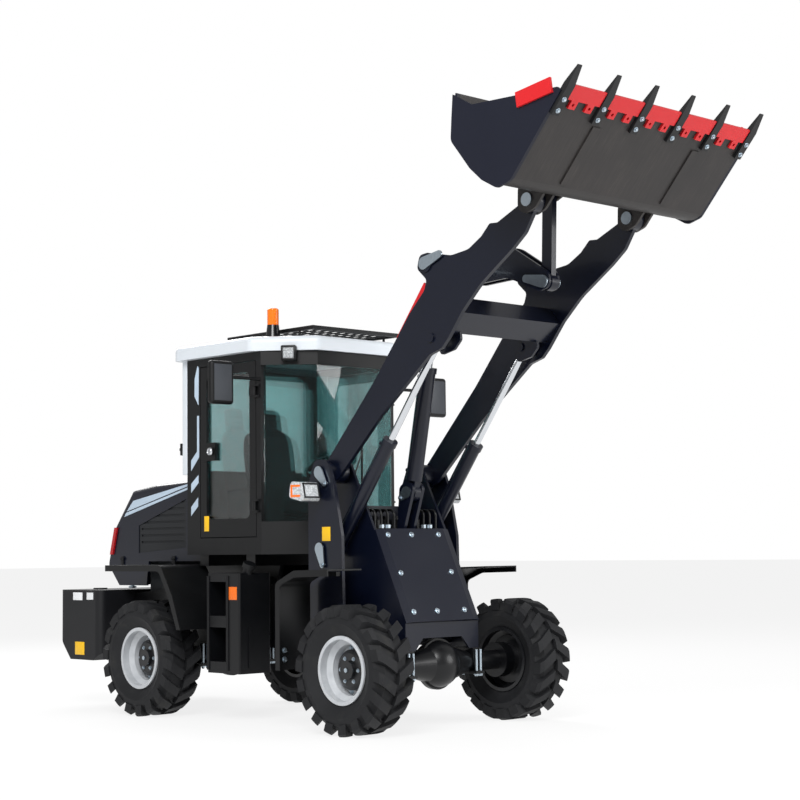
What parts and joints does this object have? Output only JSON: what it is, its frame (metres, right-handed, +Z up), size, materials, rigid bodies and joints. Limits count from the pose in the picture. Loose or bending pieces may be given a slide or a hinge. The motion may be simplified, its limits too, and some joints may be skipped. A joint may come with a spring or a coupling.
{
  "type": "compact articulated wheel loader",
  "caption": "Compact articulated wheel loader with a cab, a boom raised on hydraulic cylinders and a toothed bucket rolled back.",
  "frame": {"origin": "on the ground under the middle of the outer box", "axes": "+X forward, +Y to the machine's left, +Z up"},
  "size_m": [5.7378, 2.27, 3.9617],
  "materials": {
    "navy_paint": "gloss",
    "black_steel": "satin",
    "tank_shell": "satin",
    "white_plastic": "gloss",
    "black_plastic": "matte",
    "rim_steel": "satin",
    "tyre": "matte",
    "rod_chrome": "polished",
    "red_steel": "satin",
    "glass": "clear",
    "seat_vinyl": "matte",
    "lamp": "gloss",
    "red_lens": "gloss",
    "amber_lens": "gloss",
    "iron": "satin",
    "grey_panel": "matte",
    "pin_steel": "satin"
  },
  "bodies": {
    "rear_frame": {"rear_frame": "navy_paint", "rear_axle": "black_steel", "engine_block": "black_steel", "counterweight": "iron", "rear_fenders": "black_plastic", "step_tanks": "tank_shell", "cab_floor": "black_plastic", "cab_rear_wall": "navy_paint", "cab_sides": "navy_paint", "cab_front_frame": "navy_paint", "cab_glass": "glass", "cab_roof": "white_plastic", "roof_rack": "black_steel", "seat": "seat_vinyl", "controls": "black_plastic", "beacon": "amber_lens", "work_lights": "lamp", "mirrors": "black_plastic"},
    "hood": {"hood": "navy_paint", "hood_vents": "grey_panel", "tail_lights": "red_lens"},
    "front_frame": {"front_frame": "navy_paint", "tower_cover": "navy_paint", "front_axle": "black_steel", "front_fenders": "black_plastic", "headlights": "lamp", "hydraulic_lines": "black_steel"},
    "boom": {"boom": "navy_paint", "safety_strut": "red_steel"},
    "bucket_pins": {"bucket_pins": "pin_steel"},
    "bucket": {"bucket": "navy_paint", "bucket_teeth": "black_steel", "cutting_edges": "red_steel"},
    "bellcrank_pin": {"bellcrank_pin": "pin_steel"},
    "bellcrank": {"bellcrank": "navy_paint"},
    "link_pin": {"link_pin": "pin_steel"},
    "tilt_link": {"tilt_link": "navy_paint"},
    "lift_barrels": {"lift_barrels": "navy_paint"},
    "lift_rods": {"lift_rods": "rod_chrome"},
    "tilt_barrel": {"tilt_barrel": "navy_paint"},
    "tilt_rod": {"tilt_rod": "rod_chrome"},
    "door_left": {"door_left": "navy_paint", "door_glass_left": "glass"},
    "steer_barrel_left": {"steer_barrel_left": "black_steel"},
    "steer_rod_left": {"steer_rod_left": "rod_chrome"},
    "wheel_front_left": {"rim_front_left": "rim_steel", "tyre_front_left": "tyre"},
    "wheel_rear_left": {"rim_rear_left": "rim_steel", "tyre_rear_left": "tyre"},
    "door_right": {"door_right": "navy_paint", "door_glass_right": "glass"},
    "steer_barrel_right": {"steer_barrel_right": "black_steel"},
    "steer_rod_right": {"steer_rod_right": "rod_chrome"},
    "wheel_front_right": {"rim_front_right": "rim_steel", "tyre_front_right": "tyre"},
    "wheel_rear_right": {"rim_rear_right": "rim_steel", "tyre_rear_right": "tyre"}
  },
  "joints": [
    {"name": "steer", "type": "hinge", "parent": "rear_frame", "child": "front_frame", "pos_m": [-0.37894, 0, 0.7], "axis": [0, 0, 1], "range_deg": [-35, 35]},
    {"name": "wheel_front_left", "type": "hinge", "parent": "front_frame", "child": "wheel_front_left", "pos_m": [0.73606, 0.75, 0.421], "axis": [0, 1, 0], "continuous": true},
    {"name": "wheel_front_right", "type": "hinge", "parent": "front_frame", "child": "wheel_front_right", "pos_m": [0.73606, -0.75, 0.421], "axis": [0, 1, 0], "continuous": true},
    {"name": "wheel_rear_left", "type": "hinge", "parent": "rear_frame", "child": "wheel_rear_left", "pos_m": [-1.49394, 0.75, 0.421], "axis": [0, 1, 0], "continuous": true},
    {"name": "wheel_rear_right", "type": "hinge", "parent": "rear_frame", "child": "wheel_rear_right", "pos_m": [-1.49394, -0.75, 0.421], "axis": [0, 1, 0], "continuous": true},
    {"name": "boom", "type": "hinge", "parent": "front_frame", "child": "boom", "pos_m": [0.19806, 0, 1.724], "axis": [0, -1, 0], "range_deg": [-78, 0]},
    {"name": "bucket_level", "type": "hinge", "parent": "boom", "child": "bucket_pins", "pos_m": [2.12156, 0, 3.32092], "axis": [0, 1, 0], "range_deg": [-48.02, 0.02]},
    {"name": "bucket", "type": "hinge", "parent": "bucket_pins", "child": "bucket", "pos_m": [2.12156, 0, 3.32092], "axis": [0, 1, 0], "range_deg": [0, 93]},
    {"name": "crank_level", "type": "hinge", "parent": "boom", "child": "bellcrank_pin", "pos_m": [1.1828, 0, 3.04583], "axis": [0, -1, 0], "range_deg": [-25.94, 0.02]},
    {"name": "bellcrank", "type": "hinge", "parent": "bellcrank_pin", "child": "bellcrank", "pos_m": [1.1828, 0, 3.04583], "axis": [0, -1, 0], "range_deg": [-0.02, 39.66]},
    {"name": "link_level", "type": "hinge", "parent": "bellcrank", "child": "link_pin", "pos_m": [1.81029, 0, 2.89743], "axis": [0, -1, 0], "range_deg": [-0.02, 16.36]},
    {"name": "link_fold", "type": "hinge", "parent": "link_pin", "child": "tilt_link", "pos_m": [1.81029, 0, 2.89743], "axis": [0, -1, 0], "range_deg": [-101.24, 0.02]},
    {"name": "lift_swing", "type": "hinge", "parent": "front_frame", "child": "lift_barrels", "pos_m": [0.20106, 0, 1.204], "axis": [0, -1, 0], "range_deg": [-69.84, 0.02]},
    {"name": "lift_stroke", "type": "slide", "parent": "lift_barrels", "child": "lift_rods", "axis": [0.6048, 0, 0.7964], "range_m": [-0.6261, 0.0005]},
    {"name": "tilt_swing", "type": "hinge", "parent": "front_frame", "child": "tilt_barrel", "pos_m": [0.52106, 0, 1.584], "axis": [0, -1, 0], "range_deg": [-87.62, 0.02]},
    {"name": "tilt_stroke", "type": "slide", "parent": "tilt_barrel", "child": "tilt_rod", "axis": [0.1975, 0, 0.9803], "range_m": [-0.2151, 0.0005]},
    {"name": "steer_swing_left", "type": "hinge", "parent": "rear_frame", "child": "steer_barrel_left", "pos_m": [-0.92894, 0.2, 0.7], "axis": [0, 0, 1], "range_deg": [-5.82, 5.82]},
    {"name": "steer_stroke_left", "type": "slide", "parent": "steer_barrel_left", "child": "steer_rod_left", "axis": [0.999, -0.0441, 0], "range_m": [-0.1039, 0.1039]},
    {"name": "steer_swing_right", "type": "hinge", "parent": "rear_frame", "child": "steer_barrel_right", "pos_m": [-0.92894, -0.2, 0.7], "axis": [0, 0, 1], "range_deg": [-5.82, 5.82]},
    {"name": "steer_stroke_right", "type": "slide", "parent": "steer_barrel_right", "child": "steer_rod_right", "axis": [0.999, 0.0441, 0], "range_m": [-0.1039, 0.1039]},
    {"name": "hood", "type": "hinge", "parent": "rear_frame", "child": "hood", "pos_m": [-1.21494, 0, 1.722], "axis": [0, 1, 0], "range_deg": [0, 60]},
    {"name": "door_left", "type": "hinge", "parent": "rear_frame", "child": "door_left", "pos_m": [-0.39594, 0.656, 1.915], "axis": [0, 0, 1], "range_deg": [-90, 0]},
    {"name": "door_right", "type": "hinge", "parent": "rear_frame", "child": "door_right", "pos_m": [-0.39594, -0.656, 1.915], "axis": [0, 0, 1], "range_deg": [0, 90]}
  ],
  "couplings": [
    {"joint": "bucket_level", "follows": "boom", "ratio": 0.61538},
    {"joint": "crank_level", "follows": "boom", "ratio": 0.33225},
    {"joint": "bellcrank", "follows": "bucket", "ratio": 0.42619},
    {"joint": "link_level", "follows": "boom", "ratio": -0.20943},
    {"joint": "link_fold", "follows": "bucket", "ratio": -1.0884},
    {"joint": "lift_swing", "follows": "boom", "ratio": 0.89511},
    {"joint": "lift_stroke", "follows": "boom", "m_per_rad": 0.45957},
    {"joint": "tilt_swing", "follows": "boom", "ratio": 1.1231},
    {"joint": "tilt_stroke", "follows": "bucket", "m_per_rad": -0.13221},
    {"joint": "steer_swing_left", "follows": "steer", "ratio": 0.16557},
    {"joint": "steer_stroke_left", "follows": "steer", "m_per_rad": -0.16934},
    {"joint": "steer_swing_right", "follows": "steer", "ratio": 0.16557},
    {"joint": "steer_stroke_right", "follows": "steer", "m_per_rad": 0.16934}
  ]
}
